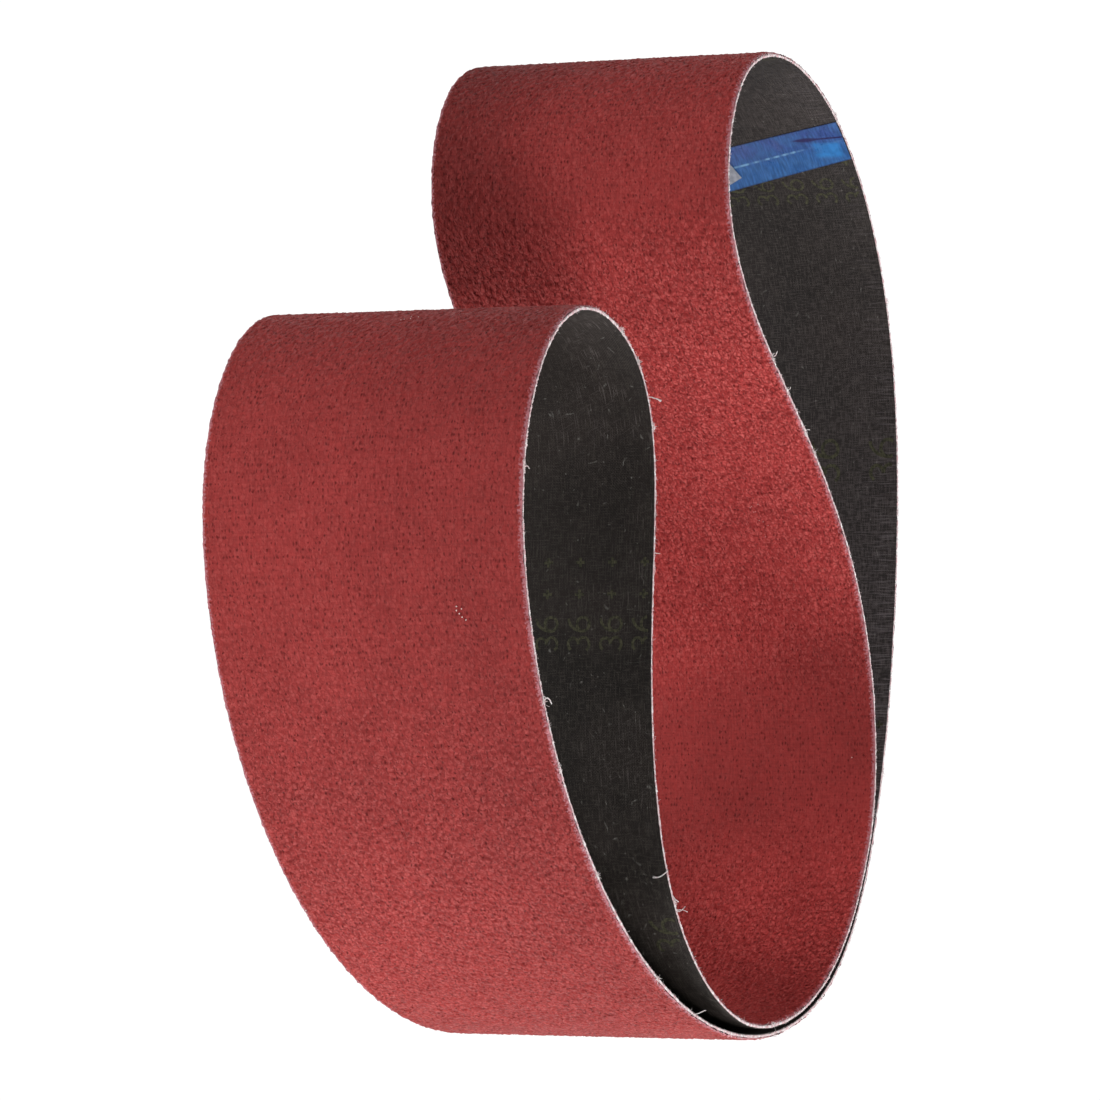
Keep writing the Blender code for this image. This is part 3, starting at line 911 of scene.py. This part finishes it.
# ---------------------------------------------------------------- fuzz
def fuzz(name, places, base_off, length, radius, top=True, upright=0.5, seed=7):
    """Short fibres rooted along a cut edge at distances places (mm)."""
    r = np.random.default_rng(seed)
    n = len(places)
    p, out = plan_of(places)
    tangent = np.stack([out[:, 1], -out[:, 0]], axis=1)
    root = place(places, np.full(n, WIDTH_MM - 0.05 if top else 0.25), base_off)
    a, b, c = r.uniform(-0.7, 1.0, n), r.uniform(0.05, 1.0, n) * upright * 2, r.normal(0, 0.8, n)
    if not top:
        a, b = np.abs(a) + 0.3, b * 0.25
    way = np.concatenate([out * a[:, None] + tangent * c[:, None], b[:, None]], axis=1)
    way /= np.linalg.norm(way, axis=1, keepdims=True)
    curl = np.concatenate([out * r.normal(0, 1, n)[:, None] + tangent * r.normal(0, 1, n)[:, None],
                           r.normal(-0.3, 0.6, n)[:, None]], axis=1) * 0.35
    t = np.linspace(0, 1, 4)[None, :, None]
    path = root[:, None] + (way[:, None] * t + curl[:, None] * t**2) * (length * MM)[:, None, None]
    path[:, :, 2] = np.maximum(path[:, :, 2], 0.0001)
    thick = radius[:, None] * MM * np.array([1.0, 0.9, 0.75, 0.4])[None, :]
    verts, faces = tubes(path, thick, 3)
    return keep(mesh_object(name, verts, faces, [FIBRE]))


CLUMPS = (635.1, 567.7, 544.9, 503.9, 732.9, 747.9, 770.0, 914.0, 1313.0, 1296.7, 1276.6, 1266.7,
          1501.0, 52.0, 210.0, 348.0, 448.0, 1010.0, 1130.0)
count = 3000
everywhere = rng.uniform(1, LOOP_MM - 1, count)
dense = noise(everywhere, 0, 9.0, 71) > 0.36
everywhere = everywhere[dense]
near = np.concatenate([c + rng.normal(0, 0.75, 30) for c in CLUMPS]) % LOOP_MM
spots = np.concatenate([everywhere, near])
sizes = np.concatenate([rng.gamma(3.0, 0.12, len(everywhere)) + 0.12, rng.gamma(3.0, 0.17, len(near)) + 0.25])
fuzz_top = fuzz("edge_fuzz_top", spots, rng.uniform(-0.45, 1.15, len(spots)), np.minimum(sizes, 2.2),
                np.where(np.arange(len(spots)) < len(everywhere), rng.uniform(0.040, 0.070, len(spots)),
                         rng.uniform(0.055, 0.095, len(spots))), seed=8)
spots = rng.uniform(1, LOOP_MM - 1, 520)
fuzz_low = fuzz("edge_fuzz_bottom", spots, rng.uniform(0.0, 1.1, len(spots)),
                rng.gamma(3.0, 0.13, len(spots)) + 0.10, rng.uniform(0.030, 0.05, len(spots)), top=False, seed=9)


# ---------------------------------------------------------------- loose threads, as they stand on the belt
THREADS = (
    # (s, off, z) points in mm, and the thread's radius from root to tip
    (((760.3, 0.0, 99.6), (760.4, 0.1, 100.8), (760.9, 0.2, 102.0), (761.3, 0.3, 102.9), (761.9, 0.4, 103.7)), (0.17, 0.20, 0.28)),
    (((769.6, 0.1, 99.7), (769.8, 0.2, 100.3), (770.1, 0.3, 100.8)), (0.11, 0.10, 0.09)),
    (((807.0, -0.1, 99.6), (807.1, -0.1, 100.4), (807.2, -0.2, 101.2), (807.3, -0.2, 101.9)), (0.17, 0.16, 0.12)),
    (((902.6, -0.1, 99.5), (902.2, -0.7, 100.6), (902.8, -1.5, 99.9), (903.8, -1.6, 98.4), (904.3, -1.3, 96.9), (904.4, -1.0, 95.6)), (0.17, 0.18, 0.28)),
    (((910.6, -0.1, 99.6), (911.2, -0.5, 100.4), (912.2, -0.7, 101.0), (913.1, -0.7, 101.9)), (0.16, 0.15, 0.12)),
    (((916.8, 0.2, 99.7), (917.0, 0.5, 100.9), (917.3, 0.8, 102.0), (918.2, 1.0, 103.0)), (0.16, 0.13, 0.08)),
    (((917.2, 0.3, 99.7), (917.6, 0.6, 100.8), (916.9, 1.0, 101.9), (916.3, 1.4, 102.6)), (0.14, 0.11, 0.07)),
    (((415.4, -0.1, 99.7), (415.2, -0.5, 100.9), (415.8, -0.9, 102.2), (416.8, -1.0, 103.4), (417.3, -0.9, 104.0)), (0.16, 0.15, 0.11)),
    (((567.2, -0.2, 99.7), (567.9, -0.7, 100.7), (566.9, -1.1, 101.3), (565.8, -0.9, 101.6)), (0.18, 0.20, 0.12)),
    (((635.1, -0.2, 99.7), (635.5, -0.6, 100.5), (634.7, -0.9, 101.1)), (0.16, 0.15, 0.10)),
    (((1312.6, -0.2, 99.7), (1313.0, -0.6, 100.8), (1313.9, -0.9, 101.4), (1314.6, -0.9, 101.8)), (0.15, 0.14, 0.09)),
    (((1296.5, -0.2, 99.7), (1296.8, -0.6, 100.7), (1297.5, -0.8, 101.1)), (0.13, 0.12, 0.08)),
    (((1276.4, -0.2, 99.7), (1276.8, -0.5, 100.6), (1276.2, -0.8, 101.2)), (0.13, 0.12, 0.08)),
)


def smooth_path(points, samples):
    """A Catmull-Rom curve through the points."""
    p = np.array(points, float)
    p = np.vstack([2 * p[0] - p[1], p, 2 * p[-1] - p[-2]])
    out = []
    for u in np.linspace(0, len(points) - 1 - 1e-9, samples):
        i, f = int(u), u - int(u)
        a, b, c, d = p[i:i + 4]
        out.append(0.5 * (2 * b + (c - a) * f + (2 * a - 5 * b + 4 * c - d) * f**2 + (3 * b - a - 3 * c + d) * f**3))
    return np.array(out)


def threads():
    verts, faces, base = [], [], 0
    for k, (points, radius) in enumerate(THREADS):
        path = smooth_path(points, 22)
        path = place(path[:, 0], path[:, 2], path[:, 1])
        thick = np.interp(np.linspace(0, 2, 22), [0, 1, 2], radius) * MM * 0.90
        thick *= 1 + 0.16 * (noise(np.arange(22), k * 7.0, 1.4, 81) - 0.5)
        # three plies side by side, lightly twisted, with a frayed tip
        for ply in range(3):
            turn = np.linspace(0, 2.4 * math.pi, 22) + ply * 2 * math.pi / 3
            along = np.gradient(path, axis=0)
            along /= np.linalg.norm(along, axis=1, keepdims=True)
            u = np.cross(along, [0.3, 0.5, 0.8])
            u /= np.linalg.norm(u, axis=1, keepdims=True)
            w = np.cross(along, u)
            spread = thick * 0.5 * (1 + 0.9 * smooth(0.75, 1.0, np.linspace(0, 1, 22)))
            strand = path + (u * np.cos(turn)[:, None] + w * np.sin(turn)[:, None]) * spread[:, None]
            v, f = tubes(strand[None], (thick * 0.62)[None], 6)
            verts.append(v)
            faces += [[i + base for i in face] for face in f]
            base += len(v)
    return keep(mesh_object("loose_threads", np.concatenate(verts), faces, [FIBRE]))


loose = threads()


# pulled weft fibres that lie across the backing
def backing_fibres():
    r = np.random.default_rng(12)
    lines = [(823.9, 92.0, 99.2), (839.2, 91.5, 99.2), (136.9, 92.0, 99.5), (181.0, 94.0, 99.0)]
    paths, radii = [], []
    for s, z0, z1 in lines:
        t = np.linspace(0, 1, 12)
        path = place(s + 0.35 * np.sin(t * r.uniform(2, 5) + r.uniform(0, 6)), z0 + (z1 - z0) * t,
                     -CLOTH_T * 500 - 0.045 - 0.04 * np.sin(t * math.pi))
        paths.append(path)
        radii.append(np.linspace(0.016, 0.026, 12) * MM)
    verts, faces = tubes(np.array(paths), np.array(radii), 4)
    return keep(mesh_object("pulled_fibres", verts, faces, [DUSTY_FIBRE]))


pulled = backing_fibres()


# ---------------------------------------------------------------- pale flecks in the grain
def flecks():
    r = np.random.default_rng(5)
    spots = [(594.4 + a, 79.2 + b, c) for a, b, c in (
        (-2.0, 1.5, 0.24), (-1.2, 0.4, 0.22), (-0.2, -0.3, 0.25), (0.7, -1.1, 0.24), (1.2, 0.5, 0.20), (1.9, -0.9, 0.26))]
    spots += [(691 + r.normal(0, 1.2), 50.6 + r.normal(0, 1.6), 0.15) for _ in range(5)]
    spots += [(1241 + r.normal(0, 7.0), 73.5 + r.normal(0, 1.2), 0.14) for _ in range(9)]
    spots += [(1149.0, 92.0, 0.22), (487.0, 1.2, 0.25), (485.0, 0.9, 0.22)]
    t = (1 + 5**0.5) / 2
    ico = np.array([(-1, t, 0), (1, t, 0), (-1, -t, 0), (1, -t, 0), (0, -1, t), (0, 1, t), (0, -1, -t), (0, 1, -t),
                    (t, 0, -1), (t, 0, 1), (-t, 0, -1), (-t, 0, 1)]) / math.hypot(1, t)
    tri = [(0, 11, 5), (0, 5, 1), (0, 1, 7), (0, 7, 10), (0, 10, 11), (1, 5, 9), (5, 11, 4), (11, 10, 2), (10, 7, 6),
           (7, 1, 8), (3, 9, 4), (3, 4, 2), (3, 2, 6), (3, 6, 8), (3, 8, 9), (4, 9, 5), (2, 4, 11), (6, 2, 10),
           (8, 6, 7), (9, 8, 1)]
    verts, faces = [], []
    for k, (s, z, size) in enumerate(spots):
        shape = ico * r.uniform(0.7, 1.15, (12, 1)) * size
        centre = place(s, z, CLOTH_T * 500 + GRAIN_T * 1000 - 0.02)
        verts.append(centre + shape * MM)
        faces += [[i + 12 * k for i in f] for f in tri]
    return keep(mesh_object("pale_flecks", np.concatenate(verts), faces, [FLECK], smoothed=False))


fleck = flecks()


# ---------------------------------------------------------------- splice tape
def tape():
    across = np.linspace(0.4, WIDTH_MM - 0.4, 100)
    u = np.linspace(-TAPE_HALF, TAPE_HALF, 40)
    s = u[:, None] + slant(across)[None, :]
    z = np.broadcast_to(across[None, :], s.shape)
    lift = 0.10 * smooth(0.55, 0.9, noise(s, z, 6.0, 91)) + 0.04 * noise(s, z, 2.0, 92)
    bubble = np.exp(-(((s + 8.6) / 2.6) ** 2 + ((z - 93.0) / 3.2) ** 2)) * 0.22
    edge = smooth(0.82, 1.0, np.abs(u) / TAPE_HALF)[:, None]
    back = -(CLOTH_T * 500 + 0.06) - (lift + bubble) * (1 - edge)
    front = back - 0.11
    return keep(slab("splice_tape_film", s, z, back, s, z, front, [FILM], rim_material=0), "splice_tape")


def ribbon(verts, faces, strip, points, width, off, thick):
    """Adds a thin closed ribbon that follows the strip points (s, z)."""
    p = np.array(points, float)
    d = np.gradient(p, axis=0)
    d /= np.linalg.norm(d, axis=1, keepdims=True) + 1e-9
    n = np.stack([-d[:, 1], d[:, 0]], axis=1) * width / 2
    sides = (p + n, p - n)
    base = sum(len(v) for v in verts)
    rows = []
    for level in (off, off - thick):
        for side in sides:
            rows.append(np.stack([side[:, 0], side[:, 1], np.full(len(p), level)], axis=1))
    stack = np.concatenate(rows)
    verts.append(place(stack[:, 0], stack[:, 1], stack[:, 2]))
    strip.append(stack)
    m = len(p)
    a, b, c, e = base, base + m, base + 2 * m, base + 3 * m
    for i in range(m - 1):
        faces.append([a + i, a + i + 1, b + i + 1, b + i])
        faces.append([c + i, e + i, e + i + 1, c + i + 1])
        faces.append([a + i, c + i, c + i + 1, a + i + 1])
        faces.append([b + i, b + i + 1, e + i + 1, e + i])
    faces.append([a, b, e, c])
    faces.append([a + m - 1, c + m - 1, e + m - 1, b + m - 1])


def arc(cx, cy, rx, ry, start, end, steps=10):
    t = np.radians(np.linspace(start, end, steps))
    return np.stack([cx + rx * np.cos(t), cy + ry * np.sin(t)], axis=1)


# strokes in a box one high: x along the reading direction, y up
THREE = [np.concatenate([arc(0.32, 0.74, 0.27, 0.24, 150, -90), arc(0.32, 0.26, 0.30, 0.26, 90, -150)])]
SIX = [np.concatenate([arc(0.62, 0.36, 0.58, 0.62, 95, 172, 7), arc(0.33, 0.30, 0.30, 0.29, 165, 520, 17)])]
PLUS = [np.array([(0.1, 0.5), (0.3, 0.5), (0.5, 0.5)]), np.array([(0.3, 0.3), (0.3, 0.5), (0.3, 0.7)])]


def marks():
    verts, faces, strip = [], [], []
    off = -(CLOTH_T * 500 + 0.035)

    def write(strokes, s, z, size):
        for stroke in strokes:
            line = np.stack([s - stroke[:, 0] * size, z + size / 2 - stroke[:, 1] * size], axis=1)
            inside = line[:, 1] < WIDTH_MM - 0.9
            for run in np.split(np.arange(len(line)), np.nonzero(np.diff(inside.astype(int)))[0] + 1):
                if inside[run[0]] and len(run) > 1:
                    ribbon(verts, faces, strip, line[run], 0.86 * size / 7, off, 0.02)

    rows = np.arange(4.6, WIDTH_MM, 10.3)
    for start in (836.2, 14.6, 220.1, 425.6, 631.0, 1041.5, 1247.0, 1452.5):
        for z in rows:
            if start == 14.6 and z < 20:
                continue
            write(THREE, start, z, 6.9)
            write(SIX, start - 5.9, z, 6.9)
            write(PLUS, start - 15.0, z, 6.9)
            write(PLUS, start - 24.5, z, 6.9)
    for start in (112.0, 318.0, 934.0):
        for z in rows[1::2]:
            write(THREE, start, z - 2.0, 9.5)
            write(SIX, start - 8.2, z - 2.0, 9.5)
    obj = mesh_object("faded_numbers", np.concatenate(verts), faces, [PRINT], strip=np.concatenate(strip), smoothed=False)
    return keep(obj)


splice = tape()
numbers = marks()


def film_patch():
    """A scrap of pale film under the tape's free face, as a thin kite."""
    corners = [(-4.9, 57.4), (2.0, 60.0), (5.0, 54.9), (0.6, 49.5), (-3.6, 52.0)]
    c = np.array(corners)
    centre = c.mean(axis=0)
    rings = [centre + (c - centre) * f for f in (0.0, 0.5, 1.0)]
    flat = np.concatenate([rings[0][:1], rings[1], rings[2]])
    n = len(c)
    verts, strip, faces = [], [], []
    for level in (-0.95, -1.0):
        verts.append(place(flat[:, 0], flat[:, 1], np.full(len(flat), level)))
        strip.append(np.stack([flat[:, 0], flat[:, 1], np.full(len(flat), level)], axis=1))
    m = len(flat)
    for i in range(n):
        j = (i + 1) % n
        faces.append([0, 1 + i, 1 + j])
        faces.append([1 + i, 1 + n + i, 1 + n + j, 1 + j])
        faces.append([m, m + 1 + j, m + 1 + i])
        faces.append([m + 1 + i, m + 1 + j, m + 1 + n + j, m + 1 + n + i])
        faces.append([1 + n + i, m + 1 + n + i, m + 1 + n + j, 1 + n + j])
    return keep(mesh_object("pale_film_scrap", np.concatenate(verts), faces, [PALE_FILM], strip=np.concatenate(strip),
                            smoothed=False), "splice_tape")


scrap = film_patch()


# ---------------------------------------------------------------- floor
def floor():
    mesh = bpy.data.meshes.new("studio_floor")
    size = 6.0
    mesh.from_pydata([(-size, -size, 0), (size, -size, 0), (size, size, 0), (-size, size, 0)], [], [(0, 1, 2, 3)])
    # a white glowing sweep, which throws no light of its own back from the lamps
    mat, tree, node = shader("pale_studio_floor", 0.9, 0.0)
    node.inputs["Base Color"].default_value = (0.0, 0.0, 0.0, 1)
    node.inputs["Emission Color"].default_value = (1, 1, 1, 1)
    node.inputs["Emission Strength"].default_value = FLOOR_GLOW
    mesh.materials.append(mat)
    obj = bpy.data.objects.new("studio_floor", mesh)
    bpy.context.scene.collection.objects.link(obj)


FLOOR_GLOW = 1.06
floor()


# ---------------------------------------------------------------- light
def soft_light(name, azimuth, elevation, distance, size, power, colour=(1, 1, 1), aim=(0, 0, 0.05)):
    """A square area light. Azimuth 0 is on the camera's side, and 90 is on +X."""
    data = bpy.data.lights.new(name, "AREA")
    data.shape = "SQUARE"
    data.size = size
    data.energy = power
    data.color = colour
    obj = bpy.data.objects.new(name, data)
    a, e = math.radians(azimuth), math.radians(elevation)
    way = Vector((math.sin(a) * math.cos(e), -math.cos(a) * math.cos(e), math.sin(e)))
    obj.location = Vector(aim) + way * distance
    obj.rotation_mode = "QUATERNION"
    obj.rotation_quaternion = way.to_track_quat("Z", "Y")
    bpy.context.scene.collection.objects.link(obj)
    return obj


LIGHTS = {
    "key": (25, 33, 2.2, 0.42, 22.7),
    "left": (-85, 62, 2.4, 1.0, 5.8),
    "right": (100, 15, 2.4, 1.0, 34.9),
    "back": (180, 62, 2.3, 0.8, 34.5),
    "back_side": (150, 20, 2.3, 0.7, 7.6),
}
for light, (azimuth, elevation, distance, size, power) in LIGHTS.items():
    soft_light(light, azimuth, elevation, distance, size, power)

world = bpy.data.worlds.new("studio")
world.use_nodes = True
world.node_tree.nodes["Background"].inputs["Color"].default_value = (1.0, 1.0, 1.0, 1)
world.node_tree.nodes["Background"].inputs["Strength"].default_value = 0.05
bpy.context.scene.world = world
bpy.context.scene.view_settings.view_transform = "Standard"
bpy.context.scene.view_settings.look = "None"
bpy.context.scene.view_settings.exposure = 0.0
bpy.context.scene.view_settings.gamma = 1.0


# ---------------------------------------------------------------- camera, at the photograph's angle
def camera():
    data = bpy.data.cameras.new("camera")
    data.sensor_fit = "HORIZONTAL"
    data.sensor_width = 36.0
    data.lens = 179.79
    data.clip_start, data.clip_end = 0.05, 30.0
    obj = bpy.data.objects.new("camera", data)
    e, roll = math.radians(23.130), math.radians(-0.8284)
    right, up = Vector((1, 0, 0)), Vector((0, math.sin(e), math.cos(e)))
    ahead = Vector((0, math.cos(e), -math.sin(e)))
    image_x = -math.sin(roll) * right + math.cos(roll) * up
    image_down = math.cos(roll) * right + math.sin(roll) * up
    m = Matrix.Identity(4)
    for row in range(3):
        m[row][0], m[row][1], m[row][2] = image_x[row], -image_down[row], -ahead[row]
    m[0][3], m[1][3], m[2][3] = 0.00131, -1.56374, 0.70905
    obj.matrix_world = m
    bpy.context.scene.collection.objects.link(obj)
    bpy.context.scene.camera = obj


camera()
